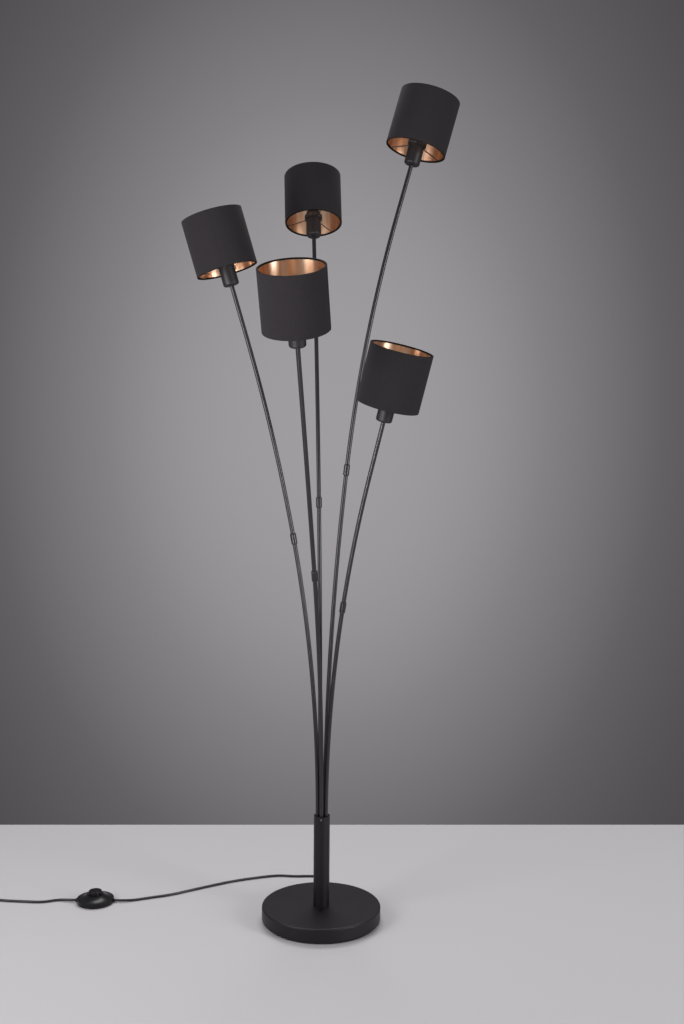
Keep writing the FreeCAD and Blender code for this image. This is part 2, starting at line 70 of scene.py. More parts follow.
def newMaterial(name, shaderValues):
    material = bpy.data.materials.new(name)
    material.use_nodes = True
    tree = material.node_tree
    tree.nodes.clear()
    shader = addNode(tree, "BsdfPrincipled", shaderValues)
    addNode(tree, "OutputMaterial", {"Surface": shader.outputs[0]})
    return material, tree, shader


# colour and roughness that wander between two values over a noise of one real size
def mottle(tree, shader, vector, sizeMm, colours, roughness):
    noise = addNode(tree, "TexNoise", {"Vector": vector, "Scale": 1 / (sizeMm * mm), "Detail": 4.0})
    mix = addNode(tree, "Mix", {"Factor": noise.outputs["Fac"]}, data_type="RGBA")
    for socket, colour in zip([s for s in mix.inputs if s.type == "RGBA"], colours):
        socket.default_value = hexColour(colour)
    tree.links.new(next(s for s in mix.outputs if s.type == "RGBA"), shader.inputs["Base Color"])
    spread = addNode(tree, "MapRange", {"Value": noise.outputs["Fac"], "To Min": roughness[0],
                                        "To Max": roughness[1]})
    tree.links.new(spread.outputs[0], shader.inputs["Roughness"])


# gives a colour ramp its stops, as (position, hex colour) in rising order
def setStops(ramp, wanted):
    stops = ramp.color_ramp.elements
    while len(stops) < len(wanted):
        stops.new(1.0)
    for stop, (position, colour) in zip(stops, wanted):
        stop.position = position
        stop.color = hexColour(colour)


# an even grain of one real size and depth
def roughen(tree, shader, vector, sizeMm, depthMm, detail=2.0):
    grain = addNode(tree, "TexNoise", {"Vector": vector, "Scale": 1 / (sizeMm * mm), "Detail": detail})
    bump = addNode(tree, "Bump", {"Height": grain.outputs["Fac"], "Distance": depthMm * mm,
                                  "Strength": 1.0})
    tree.links.new(bump.outputs[0], shader.inputs["Normal"])


# spins an outline of (radius, height) points in mm round the Z axis. A closed outline makes a ring.
def lathe(profile, steps, closed=True):
    bm = bmesh.new()
    points = [bm.verts.new((r * mm, 0, z * mm)) for r, z in profile]
    pairs = list(zip(points, points[1:])) + ([(points[-1], points[0])] if closed else [])
    edges = [bm.edges.new(pair) for pair in pairs]
    bmesh.ops.spin(bm, geom=points + edges, axis=(0, 0, 1), cent=(0, 0, 0), angle=fullTurn,
                   steps=steps, use_merge=True)
    bmesh.ops.remove_doubles(bm, verts=bm.verts, dist=0.001 * mm)
    bmesh.ops.recalc_face_normals(bm, faces=bm.faces)
    return bm


def roundEdges(bm, edges, sizeMm, segments=3):
    bmesh.ops.bevel(bm, geom=edges, offset=sizeMm * mm, offset_type="OFFSET", segments=segments,
                    profile=0.5, affect="EDGES", clamp_overlap=True, material=-1)


# the edges that lie level at one height
def levelEdges(bm, heightMm):
    return [e for e in bm.edges if all(abs(v.co.z - heightMm * mm) < 0.01 * mm for v in e.verts)]


# a UV map in metres: round the axis, and along it. On level faces the radius takes the height's place.
def unrollUv(bm, radiusMm):
    layer = bm.loops.layers.uv.new("unrolled")
    for face in bm.faces:
        middle = face.calc_center_median()
        facing = math.atan2(middle.y, middle.x)
        for loop in face.loops:
            point = loop.vert.co
            turned = math.atan2(point.y, point.x) - facing
            turned = (turned + math.pi) % fullTurn - math.pi
            along = point.z - math.hypot(point.x, point.y)
            loop[layer].uv = ((facing + turned) * radiusMm * mm, along)


creaseAngle = 35  # degrees: sharper edges than this stay crisp


# turns a bmesh into an object that rides on a body
def addPiece(name, bm, materials, body, place=None, replaced=()):
    if place is not None:
        bmesh.ops.transform(bm, matrix=place, verts=bm.verts)
    mesh = bpy.data.meshes.new(name)
    bm.to_mesh(mesh)
    bm.free()
    for material in materials:
        mesh.materials.append(material)
    mesh.shade_smooth()
    mesh.set_sharp_from_angle(angle=math.radians(creaseAngle))
    piece = bpy.data.objects.new(name, mesh)
    bpy.context.scene.collection.objects.link(piece)
    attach(piece, body)
    if replaced:
        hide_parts(*replaced)
    return piece


# the camera, at the photograph's place
view = {"place": (0.0335, -2.3109, 1.0006), "tiltDown": 5.07, "roll": 0.516, "lens": 43.225,
        "longSide": 36.0}
camera = bpy.data.objects.new("camera", bpy.data.cameras.new("camera"))
bpy.context.scene.collection.objects.link(camera)
camera.location = view["place"]
upright = Matrix.Rotation(math.radians(90 - view["tiltDown"]), 4, "X")
camera.rotation_euler = (upright @ Matrix.Rotation(math.radians(view["roll"]), 4, "Z")).to_euler()
camera.data.lens = view["lens"]
camera.data.sensor_width = view["longSide"]
camera.data.dof.use_dof = False
bpy.context.scene.camera = camera
print("camera set")


# the cords' routes in metres, those of the solid tubes they stand for
cordSize = {"diameter": 5.0 * mm, "sides": 5, "stepsPerPoint": 8}
glandEnd = (0.00717, 0.13681, 0.010)
switchRight = (-0.4145, 0.073, 0.0042)
switchLeft = (-0.4925, 0.073, 0.0042)
lampRoute = [
    glandEnd, (0.008, 0.153, 0.0095), (0.0085, 0.173, 0.0036), (0.0075, 0.191, 0.0025),
    (0.0003, 0.205, 0.0025), (-0.013, 0.2133, 0.0025), (-0.032, 0.2136, 0.0025),
    (-0.0604, 0.2112, 0.0025), (-0.0954, 0.2164, 0.0025), (-0.1373, 0.203, 0.0025),
    (-0.188, 0.1824, 0.0025), (-0.2335, 0.155, 0.0025), (-0.274, 0.1293, 0.0025),
    (-0.3085, 0.1067, 0.0025), (-0.346, 0.093, 0.0025), (-0.376, 0.0795, 0.0026),
    (-0.398, 0.073, 0.0042), switchRight,
]
plugRoute = [
    switchLeft, (-0.507, 0.073, 0.0042), (-0.529, 0.0785, 0.0025), (-0.557, 0.0645, 0.0025),
    (-0.597, 0.068, 0.0025), (-0.640, 0.0715, 0.0025), (-0.681, 0.0824, 0.0025),
]
coil = {"x": -0.706, "y": 0.047, "innerRadius": 0.020, "pitch": 0.0056, "rise": 0.0055,
        "turnsIn": 2.75, "turnsOut": 3.0, "pointsPerTurn": 16}
plugTail = [(-0.7428, 0.033, 0.007), (-0.7428, 0.028, 0.007)]


# the coil's middle line: in along the floor, half a turn up, and out again on top. On the way up it
# draws in a little, to pass inside the turns. The spline cuts inside its points, so they stand that
# much further out.
def coilPoints():
    angleIn = coil["turnsIn"] * fullTurn
    angleAll = angleIn + math.pi + coil["turnsOut"] * fullTurn
    growth = coil["pitch"] / fullTurn
    outward = 1 / math.cos(math.pi / coil["pointsPerTurn"])
    count = round(angleAll / fullTurn * coil["pointsPerTurn"])
    points = []
    for k in range(1, count + 1):
        angle = k * angleAll / count
        done = min(max((angle - angleIn) / math.pi, 0), 1)
        radius = coil["innerRadius"] - growth * math.pi * done * (1 - done)
        radius += growth * max(angleIn - angle, angle - angleIn - math.pi, 0)
        place = math.pi / 2 + angle
        points.append((coil["x"] + radius * outward * math.cos(place),
                       coil["y"] + radius * outward * math.sin(place),
                       cordSize["diameter"] / 2 + coil["rise"] * done * done * (3 - 2 * done)))
    return points


# a round curve along a route, which rides on the stand
def addCord(name, points, material, replaced):
    curve = bpy.data.curves.new(name, "CURVE")
    curve.dimensions = "3D"
    spline = curve.splines.new("NURBS")
    spline.points.add(len(points) - 1)
    for point, place in zip(spline.points, points):
        point.co = (*place, 1.0)
    spline.order_u = 3
    spline.use_endpoint_u = True
    spline.resolution_u = cordSize["stepsPerPoint"]
    curve.bevel_depth = cordSize["diameter"] / 2
    curve.bevel_resolution = cordSize["sides"]
    curve.use_fill_caps = True
    curve.materials.append(material)
    piece = bpy.data.objects.new(name, curve)
    bpy.context.scene.collection.objects.link(piece)
    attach(piece, "stand")
    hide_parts(*replaced)
    return piece


coated = {"ior": 1.5, "cloudMm": 14.0}


# polyester powder coat, matt, baked on steel: near black, with a fine even orange peel. Lacquer, hem
# tape and rough cast iron are made the same way, with another grain.
def powderCoat(name, colours, roughness, grainMm, depthMm, specular=0.5):
    material, tree, shader = newMaterial(name, {"IOR": coated["ior"], "Specular IOR Level": specular})
    where = addNode(tree, "TexCoord").outputs["Object"]
    mottle(tree, shader, where, coated["cloudMm"], colours, roughness)
    roughen(tree, shader, where, grainMm, depthMm)
    return material


weave = {"colours": ("#171517", "#282427"), "darkAt": 0.25, "lightAt": 0.8667, "threadMm": 0.8,
         "unevenness": 0.6, "slubMm": 9.0, "slubStretch": 0.12, "depthMm": 0.12}
waveTextureScale = fullTurn / 20  # the wave texture's scale at which one wave is one unit long


# plain-woven polyester-cotton cloth, laminated: matt black threads that catch a little side light.
# Real threads are about 0.4 mm apart; they are drawn 0.8 mm apart, so that the weave can be seen.
def shadeCloth():
    material, tree, shader = newMaterial("woven black shade cloth", {
        "Roughness": 0.9, "IOR": 1.45, "Specular IOR Level": 0.2, "Sheen Weight": 0.03,
        "Sheen Roughness": 0.5})
    where = addNode(tree, "UVMap", uv_map="unrolled").outputs[0]
    stretch = weave["slubStretch"]
    stretched = addNode(tree, "Mapping", {"Vector": where, "Scale": (1, stretch, 1)}).outputs[0]
    slubs = addNode(tree, "TexNoise", {"Vector": stretched, "Scale": 1 / (weave["slubMm"] * mm * stretch),
                                       "Detail": 3.0})
    threads = {"Vector": where, "Scale": waveTextureScale / (weave["threadMm"] * mm),
               "Distortion": weave["unevenness"], "Detail": 1.0, "Detail Scale": 0.4}
    waves = []
    for direction in ("X", "Y"):
        wave = addNode(tree, "TexWave", threads, bands_direction=direction)
        waves.append(wave.outputs["Fac"])
    over = addNode(tree, "Math", {0: waves[0], 1: waves[1]}, operation="MULTIPLY").outputs[0]
    body = addNode(tree, "Math", {0: over, 1: slubs.outputs["Fac"]}, operation="ADD").outputs[0]
    ramp = addNode(tree, "ValToRGB", {"Fac": body})
    setStops(ramp, [(weave["darkAt"], weave["colours"][0]), (weave["lightAt"], weave["colours"][1])])
    tree.links.new(ramp.outputs[0], shader.inputs["Base Color"])
    bump = addNode(tree, "Bump", {"Height": body, "Distance": weave["depthMm"] * mm, "Strength": 1.0})
    tree.links.new(bump.outputs[0], shader.inputs["Normal"])
    return material


# the foil's deeper and paler gold: the paler colour draws painted upright reflection bands, and the wave
# sizes set both the real ripple and those bands
foil = {"colours": ("#e0aa82", "#f8e2ca"), "darkAt": 0.3, "lightAt": 0.7, "brushMm": 0.35,
        "brushStretch": 0.04, "brushShare": 0.15, "waveMm": 16.0, "rippleAndBandStretch": 0.08, "depthMm": 0.25}


# metallised gold foil on the shade's inner face: warm, half-bright, brushed round the shade so that lamps
# draw upright bands in it. A quarter turn sets the bands upright. Its colour also runs in long upright
# stripes from deeper to paler gold over the foil's ripple; the pale stripes are painted reflection bands.
def goldFoil():
    material, tree, shader = newMaterial("brushed gold foil", {
        "Metallic": 1.0, "Anisotropic": 0.85, "Anisotropic Rotation": 0.25, "Roughness": 0.33})
    where = addNode(tree, "UVMap", uv_map="unrolled").outputs[0]
    around = addNode(tree, "Tangent", direction_type="UV_MAP", uv_map="unrolled")
    tree.links.new(around.outputs[0], shader.inputs["Tangent"])
    along = addNode(tree, "Mapping", {"Vector": where, "Scale": (foil["brushStretch"], 1, 1)}).outputs[0]
    brush = addNode(tree, "TexNoise", {"Vector": along, "Scale": 1 / (foil["brushMm"] * mm),
                                       "Detail": 2.0})
    upright = addNode(tree, "Mapping", {"Vector": where, "Scale": (1, foil["rippleAndBandStretch"], 1)}).outputs[0]
    wave = addNode(tree, "TexNoise", {"Vector": upright, "Scale": 1 / (foil["waveMm"] * mm),
                                      "Detail": 1.0})
    # painted reflection: the ripple's upright stripes also lift the colour towards pale gold
    ramp = addNode(tree, "ValToRGB", {"Fac": wave.outputs["Fac"]})
    setStops(ramp, [(foil["darkAt"], foil["colours"][0]), (foil["lightAt"], foil["colours"][1])])
    tree.links.new(ramp.outputs[0], shader.inputs["Base Color"])
    scratches = addNode(tree, "Math", {0: brush.outputs["Fac"], 1: foil["brushShare"]},
                        operation="MULTIPLY").outputs[0]
    relief = addNode(tree, "Math", {0: scratches, 1: wave.outputs["Fac"]}, operation="ADD").outputs[0]
    bump = addNode(tree, "Bump", {"Height": relief, "Distance": foil["depthMm"] * mm, "Strength": 1.0})
    tree.links.new(bump.outputs[0], shader.inputs["Normal"])
    return material


moulded = {"ior": 1.53, "coatRoughness": 0.08, "cloudMm": 9.0}


# moulded thermoplastic, satin: the grain of the tool's spark-eroded face. The lacquered glass is made
# the same way, under a clear coat.
def moulding(name, colours, roughness, grainMm=0.5, depthMm=0.02, coat=0.0, specular=0.5):
    material, tree, shader = newMaterial(name, {
        "IOR": moulded["ior"], "Specular IOR Level": specular, "Coat Weight": coat,
        "Coat Roughness": moulded["coatRoughness"]})
    where = addNode(tree, "TexCoord").outputs["Object"]
    mottle(tree, shader, where, moulded["cloudMm"], colours, roughness)
    roughen(tree, shader, where, grainMm, depthMm)
    return material


plate = {"cloudMm": 4.0, "scratchMm": 0.4, "scratchDepthMm": 0.01, "detail": 3.0}


# bare and plated metals: fine scratches and a slightly uneven plate
def plated(name, colours, roughness):
    material, tree, shader = newMaterial(name, {"Metallic": 1.0})
    where = addNode(tree, "TexCoord").outputs["Object"]
    mottle(tree, shader, where, plate["cloudMm"], colours, roughness)
    roughen(tree, shader, where, plate["scratchMm"], plate["scratchDepthMm"], plate["detail"])
    return material


flex = {"colours": ("#0f0e10", "#161517"), "roughness": (0.34, 0.46), "ior": 1.52, "cloudMm": 22.0,
        "waveMm": 6.0, "waveDepthMm": 0.12}


# soft PVC sheath, extruded: smooth, with long faint waves from the wires laid inside
def cordSheath():
    material, tree, shader = newMaterial("black soft PVC sheath", {"IOR": flex["ior"]})
    where = addNode(tree, "TexCoord").outputs["Object"]
    mottle(tree, shader, where, flex["cloudMm"], flex["colours"], flex["roughness"])
    roughen(tree, shader, where, flex["waveMm"], flex["waveDepthMm"])
    return material


# each with the two colours and the two roughnesses that it wanders between
finishes = {
    # the base and pole are dull, so that the lamps lie on them as a soft sheen
    "base": powderCoat("matt black powder coat", ("#0d090d", "#110c11"), (0.42, 0.5),
                       grainMm=0.45, depthMm=0.04, specular=0.35),
    # the rods are smoother, and draw a thin bright line down their lit side
    "rod": powderCoat("satin black powder coat", ("#1a171a", "#1f1c1f"), (0.28, 0.34),
                      grainMm=0.9, depthMm=0.004),
    "cup": powderCoat("satin black powder coat on the cup", ("#181518", "#1c191c"), (0.42, 0.5),
                      grainMm=0.7, depthMm=0.01, specular=0.35),
    "wire": powderCoat("black lacquered wire", ("#0f0e10", "#141315"), (0.4, 0.5),
                       grainMm=0.8, depthMm=0.01),
    "cloth": shadeCloth(),
    # the rolled hems: black tape, quite dull, coloured darker than the cloth. Part of that darkness is
    # painted shade, which keeps the lit tops of the rims as dark as rims in shade.
    "hem": powderCoat("black hem tape", ("#0b0a0c", "#111012"), (0.8, 0.9),
                      grainMm=0.7, depthMm=0.05, specular=0.1),
    "gold": goldFoil(),
    "holder": moulding("black PET moulding", ("#161517", "#1c1b1d"), (0.42, 0.5)),
    # the foot switch is polished enough to show one soft highlight
    "gloss": moulding("satin black ABS", ("#0c0b0d", "#111012"), (0.26, 0.34),
                      grainMm=0.8, depthMm=0.008, specular=0.25),
    "plug": moulding("black PVC plug moulding", ("#18171a", "#1f1e20"), (0.46, 0.56)),
    "sheath": cordSheath(),
    # the globes are bright and milky, under a glossy face
    "opal": moulding("opal lacquered glass", ("#f0ede6", "#f4f1ea"), (0.22, 0.26),
                     grainMm=4.0, depthMm=0.003, coat=0.5),
    "collar": moulding("white thermoplastic", ("#dcdad5", "#e4e2dd"), (0.4, 0.48)),
    "nickel": plated("nickel plate", ("#b9b4aa", "#c8c4bb"), (0.24, 0.34)),
    "zinc": plated("zinc-plated steel", ("#9da0a3", "#b4b6b8"), (0.34, 0.46)),
    # the head screw catches a small glint
    "blackened": plated("blackened steel", ("#77757a", "#8a888d"), (0.2, 0.28)),
    "iron": powderCoat("rough cast iron", ("#4b4a4a", "#5d5b5a"), (0.75, 0.9),
                       grainMm=1.6, depthMm=0.4),
    # foam has almost no sheen
    "pad": moulding("EVA foam pad", ("#1d1d1e", "#262627"), (0.85, 0.95), grainMm=0.9, depthMm=0.12),
}
print("materials made")


# the solids that stay as they are, and their finishes
finishOfNode = {
    "base_shell": "base", "pole": "base", "pole_head": "base", "base_weight": "iron",
    "base_pad": "pad", "pole_nut": "zinc", "head_screw": "blackened", "cord_gland": "holder",
    "foot_switch_base": "gloss", "foot_switch_cover": "gloss", "foot_switch_button": "gloss",
}
for arm in armNames:
    finishOfNode.update({
        arm + "_lower_rod": "rod", arm + "_upper_rod": "rod", arm + "_coupler": "rod",
        arm + "_socket_cup": "cup", arm + "_shade_frame": "wire",
    })
for nodeName, finish in finishOfNode.items():
    mesh = nodes[nodeName].data
    mesh.materials.clear()
    mesh.materials.append(finishes[finish])
print("solids finished")


# the lamp heads. Lengths are in mm, up each head's axis from the underside of its cup.
shade = {"radius": 58.0, "start": 29.2, "end": 136.2, "wall": 0.75, "hemDepth": 3.3, "hemHeight": 2.5,
         "hemSlope": 0.6, "hemRound": 0.9, "foil": 0.25, "seamSteps": 2, "seamProud": 0.35, "steps": 96}
skin = 0.3  # mm: a face within this of the shade's radius belongs to its outer side


# where an arm's head stands, from its shade: the flat rim gives the axis
def headPlace(arm):
    middle = sum(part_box(arm + "_shade"), Vector()) / 2
    towards = middle - sum(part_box(arm + "_shade_ring"), Vector()) / 2
    axis = max((f.normal for f in nodes[arm + "_shade"].data.polygons), key=towards.dot).copy()
    turn = axis.to_track_quat("Z", "Y").to_matrix().to_4x4()
    shadeMiddle = (shade["start"] + shade["end"]) / 2
    return Matrix.Translation(middle - axis * shadeMiddle * mm) @ turn


# the cloth: an outer wall whose ends are rolled in round the wires, and a glued upright seam. The hems and
# the inner side take the second material, the hem tape, whose extra darkness is painted shade on the rims.
def shadeClothMesh():
    low, high, outer = shade["start"], shade["end"], shade["radius"]
    wall, hem = outer - shade["wall"], outer - shade["hemDepth"]
    tall, slope = shade["hemHeight"], shade["hemSlope"]
    bm = lathe([(outer, low), (outer, high), (hem, high), (hem, high - tall),
                (wall, high - tall - slope), (wall, low + tall + slope), (hem, low + tall), (hem, low)],
               shade["steps"])
    seamReach = shade["seamSteps"] / 2 * fullTurn / shade["steps"]
    seam = []
    for face in bm.faces:
        middle = face.calc_center_median()
        out = math.hypot(middle.x, middle.y) > (outer - skin) * mm
        if out and abs(math.atan2(middle.y, middle.x)) < seamReach:
            seam.append(face)
    grown = bmesh.ops.extrude_face_region(bm, geom=seam)["geom"]
    for vert in [g for g in grown if isinstance(g, bmesh.types.BMVert)]:
        vert.co += Vector((vert.co.x, vert.co.y, 0)).normalized() * shade["seamProud"] * mm
    bmesh.ops.delete(bm, geom=seam, context="FACES")
    roundEdges(bm, levelEdges(bm, low) + levelEdges(bm, high), shade["hemRound"], 4)
    unrollUv(bm, outer)
    for face in bm.faces:
        middle = face.calc_center_median()
        atEnd = not (low + shade["hemRound"]) * mm < middle.z < (high - shade["hemRound"]) * mm
        if atEnd or math.hypot(middle.x, middle.y) < (outer - skin) * mm:
            face.material_index = 1
    return bm


# the foil lining, glued to the cloth between the hems
def liningMesh():
    outer = shade["radius"] - shade["wall"]
    inner = outer - shade["foil"]
    low = shade["start"] + shade["hemHeight"]
    high = shade["end"] - shade["hemHeight"]
    bm = lathe([(outer, low), (outer, high), (inner, high), (inner, low)], shade["steps"])
    unrollUv(bm, inner)
    return bm


ring = {"radius": 18.0, "bore": 14.1, "low": 38.4, "high": 46.4, "chamfer": 0.8, "ribs": 24,
        "ribDepth": 0.8, "stepsPerRib": 4}


# the clamp ring that holds the shade down, with finger ribs
def ringMesh():
    low, high, outer, chamfer = ring["low"], ring["high"], ring["radius"], ring["chamfer"]
    steps = ring["ribs"] * ring["stepsPerRib"]
    bm = lathe([(ring["bore"], low), (outer - chamfer, low), (outer, low + chamfer),
                (outer, high - chamfer), (outer - chamfer, high), (ring["bore"], high)], steps)
    for vert in bm.verts:
        onFace = math.hypot(vert.co.x, vert.co.y) > (outer - chamfer / 2) * mm
        step = round(math.atan2(vert.co.y, vert.co.x) / fullTurn * steps) % ring["stepsPerRib"]
        if onFace and step < ring["stepsPerRib"] / 2:
            vert.co.x *= 1 - ring["ribDepth"] / outer
            vert.co.y *= 1 - ring["ribDepth"] / outer
    return bm


holder = {"foot": 1.5, "wireBore": 4.05, "wireBoreDepth": 8.0, "neckRadius": 7.0, "neckTop": 9.5,
          "bodyRadius": 13.0, "flangeRadius": 15.0, "flangeLow": 35.4, "flangeHigh": 37.0,
          "threadRadius": 14.0, "threadPitch": 1.9, "threadDepth": 0.6, "top": 54.4, "topChamfer": 0.5,
          "socketRadius": 7.0, "socketFloor": 30.4, "steps": 64}
# one turn of the thread, as (share of the pitch, share of the depth) points
holderThread = [(0.15, 1), (0.4, 1), (0.65, 0), (0.9, 0)]


# the lampholder: a skirt with a coarse outer thread, drawn as level rings, over a plain body in the cup
def holderMesh():
    foot, boreTop = holder["foot"], holder["foot"] + holder["wireBoreDepth"]
    outline = [(holder["socketRadius"], holder["socketFloor"]), (onAxis, holder["socketFloor"])]
    outline += [(onAxis, boreTop), (holder["wireBore"], boreTop), (holder["wireBore"], foot)]
    outline += [(holder["neckRadius"], foot), (holder["neckRadius"], holder["neckTop"])]
    outline += [(holder["bodyRadius"], holder["neckTop"]), (holder["bodyRadius"], holder["flangeLow"])]
    outline += [(holder["flangeRadius"], height) for height in (holder["flangeLow"], holder["flangeHigh"])]
    height = holder["flangeHigh"]
    outer, pitch = holder["threadRadius"], holder["threadPitch"]
    while height + pitch < holder["top"]:
        for share, deep in holderThread:
            outline.append((outer - holder["threadDepth"] * deep, height + pitch * share))
        height += pitch
    outline += [(outer - holder["topChamfer"], holder["top"]), (holder["socketRadius"], holder["top"])]
    return lathe(outline, holder["steps"])


bulb = {"globeRadius": 22.5, "globeHeight": 85.9, "globeSteps": 24, "joinAngle": 30, "globeGap": 0.4,
        "globeLip": 0.5, "collarTop": 66.4, "collarRound": 0.6, "neckRadius": 11.0, "neckHeight": 55.8,
        "steps": 64}
cap = {"radius": 6.8, "low": 32.4, "high": 55.0, "pitch": 2.82, "contactRadius": 2.6,
       "contactFlare": 3.4, "contactHeight": 1.2, "shoulderInset": 0.9, "shoulderHeight": 2.4,
       "threadStart": 3.0, "topInset": 0.4, "steps": 48}
# one ridge of the cap, as (share of the pitch, mm below its radius) points
capRidge = [(0.1, 0.7), (0.3, 0.15), (0.5, 0.0), (0.7, 0.15), (0.9, 0.7)]


# the bulb widens straight from its neck to where the round globe starts
def bulbNeckRadius(height):
    joinRadius = bulb["globeRadius"] * math.cos(math.radians(bulb["joinAngle"]))
    joinHeight = bulb["globeHeight"] - bulb["globeRadius"] * math.sin(math.radians(bulb["joinAngle"]))
    share = (height - bulb["neckHeight"]) / (joinHeight - bulb["neckHeight"])
    return bulb["neckRadius"] + share * (joinRadius - bulb["neckRadius"])


def globeMesh():
    start, lip, steps = bulb["collarTop"] + bulb["globeGap"], bulb["globeLip"], bulb["globeSteps"]
    outline = [(onAxis, start), (bulbNeckRadius(start) - lip, start), (bulbNeckRadius(start), start + lip)]
    for k in range(steps + 1):
        angle = math.radians(-bulb["joinAngle"] + k * (90 + bulb["joinAngle"]) / steps)
        outline.append((max(bulb["globeRadius"] * math.cos(angle), onAxis),
                        bulb["globeHeight"] + bulb["globeRadius"] * math.sin(angle)))
    return lathe(outline, bulb["steps"], closed=False)


def collarMesh():
    low, high = cap["high"], bulb["collarTop"]
    bm = lathe([(onAxis, low), (cap["radius"], low), (bulb["neckRadius"], bulb["neckHeight"]),
                (bulbNeckRadius(high), high), (onAxis, high)], bulb["steps"], closed=False)
    roundEdges(bm, levelEdges(bm, high), bulb["collarRound"])
    return bm


# the screw cap: rounded ridges at the standard pitch, and a contact at its foot
def capMesh():
    low, high = cap["low"], cap["high"]
    outline = [(onAxis, low), (cap["contactRadius"], low)]
    outline.append((cap["contactFlare"], low + cap["contactHeight"]))
    outline.append((cap["radius"] - cap["shoulderInset"], low + cap["shoulderHeight"]))
    height = low + cap["threadStart"]
    while height + cap["pitch"] < high:
        outline += [(cap["radius"] - drop, height + share * cap["pitch"]) for share, drop in capRidge]
        height += cap["pitch"]
    outline += [(cap["radius"] - cap["topInset"], high), (onAxis, high)]
    return lathe(outline, cap["steps"], closed=False)


# a head's pieces: mesh, finishes, slot, and the solid whose place it takes
for arm in armNames:
    place = headPlace(arm)
    body = arm + "_arm"
    for part, mesh, finish, slot, replaced in (
            ("shade_cloth", shadeClothMesh(), ["cloth", "hem"], "shade_cloth", ["shade"]),
            ("shade_lining", liningMesh(), ["gold"], "shade_cloth", []),
            ("shade_clamp_ring", ringMesh(), ["holder"], "black_moulding", ["shade_ring"]),
            ("threaded_lampholder", holderMesh(), ["holder"], "black_moulding", ["lampholder"]),
            ("bulb_globe", globeMesh(), ["opal"], "bulb_glass", ["bulb"]),
            ("bulb_collar", collarMesh(), ["collar"], "bulb_glass", []),
            ("bulb_cap", capMesh(), ["nickel"], "bulb_glass", [])):
        addPiece(f"{arm}_{part}", mesh, [finishes[key] for key in finish], body, place,
                 [f"{arm}_{node}" for node in replaced])
print("lamp heads made")


# the plug: it is built up its Z axis from the cord's end, and laid down along -Y
plug = {"shoulder": 26.0, "front": 48.0, "width": 26.0, "thickness": 14.0, "edge": 3.0}
relief = {"length": 16.0, "inBody": 3.0, "start": 3.5, "end": 5.0, "ribs": 5, "steps": 40}
# one rib of the strain relief, as (share of its length, mm below the cone) points
reliefRib = [(0.0, 0.0), (0.55, 0.0), (0.62, 0.8), (0.93, 0.8)]
pin = {"radius": 2.0, "length": 19.0, "spacing": 19.0, "tip": 0.8, "sleeveLength": 10.0,
       "sleeveRadius": 1.9, "sleeveTip": 0.1, "rootDepth": 1.0, "steps": 32}
plugPlace = Matrix.Translation(Vector(plugTail[-1])) @ Matrix.Rotation(math.radians(90), 4, "X")


def plugBodyMesh():
    bm = bmesh.new()
    half, small = plug["width"] / 2, relief["end"]
    outline = [(-small, relief["length"]), (-half, plug["shoulder"]), (-half, plug["front"]),
               (half, plug["front"]), (half, plug["shoulder"]), (small, relief["length"])]
    corners = [bm.verts.new((x * mm, -plug["thickness"] / 2 * mm, z * mm)) for x, z in outline]
    face = bm.faces.new(corners)
    grown = bmesh.ops.extrude_face_region(bm, geom=[face])["geom"]
    moved = [g for g in grown if isinstance(g, bmesh.types.BMVert)]
    bmesh.ops.translate(bm, verts=moved, vec=(0, plug["thickness"] * mm, 0))
    bmesh.ops.recalc_face_normals(bm, faces=bm.faces)
    # all edges but those of the face that the strain relief enters
    edges = [e for e in bm.edges if max(v.co.z for v in e.verts) > (relief["length"] + 1) * mm]
    roundEdges(bm, edges, plug["edge"], 5)
    return bm


def reliefMesh():
    outline = [(onAxis, 0.0)]
    length, ribs = relief["length"] + relief["inBody"], relief["ribs"]
    for k in range(ribs):
        for share, drop in reliefRib:
            along = (k + share) / ribs
            radius = relief["start"] + (relief["end"] - relief["start"]) * along - drop
            outline.append((radius, along * length))
    outline += [(relief["end"], length), (onAxis, length)]
    return lathe(outline, relief["steps"], closed=False)


def pinMesh(side, low, high, radius, tip):
    bm = lathe([(onAxis, low), (radius, low), (radius, high - tip), (radius - tip, high), (onAxis, high)],
               pin["steps"], closed=False)
    bmesh.ops.translate(bm, verts=bm.verts, vec=(side * pin["spacing"] / 2 * mm, 0, 0))
    return bm


def addPlugPiece(name, bm, finish, replaced=()):
    return addPiece(name, bm, [finishes[finish]], "stand", plugPlace, replaced)


plugPieces = [addPlugPiece("plug_body", plugBodyMesh(), "plug", ["mains_plug"]),
              addPlugPiece("plug_strain_relief", reliefMesh(), "plug")]
sleeveEnd = plug["front"] + pin["sleeveLength"]
pinEnd = plug["front"] + pin["length"]
for sideName, side in (("left", -1), ("right", 1)):
    sleeve = pinMesh(side, plug["front"] - pin["rootDepth"], sleeveEnd, pin["sleeveRadius"],
                     pin["sleeveTip"])
    plugPieces.append(addPlugPiece(f"plug_pin_sleeve_{sideName}", sleeve, "plug"))
    bare = pinMesh(side, sleeveEnd - pin["rootDepth"], pinEnd, pin["radius"], pin["tip"])
    plugPieces.append(addPlugPiece(f"plug_pin_{sideName}", bare, "nickel"))
print("plug made")


# the tie round the coil: a flat strap, on the side of the coil towards -Y. Near and far are mm from
# the coil's middle.
tie = {"near": 15.5, "far": 41.0, "low": 0.4, "high": 11.2, "width": 9.0, "thickness": 0.7, "corner": 4.0}


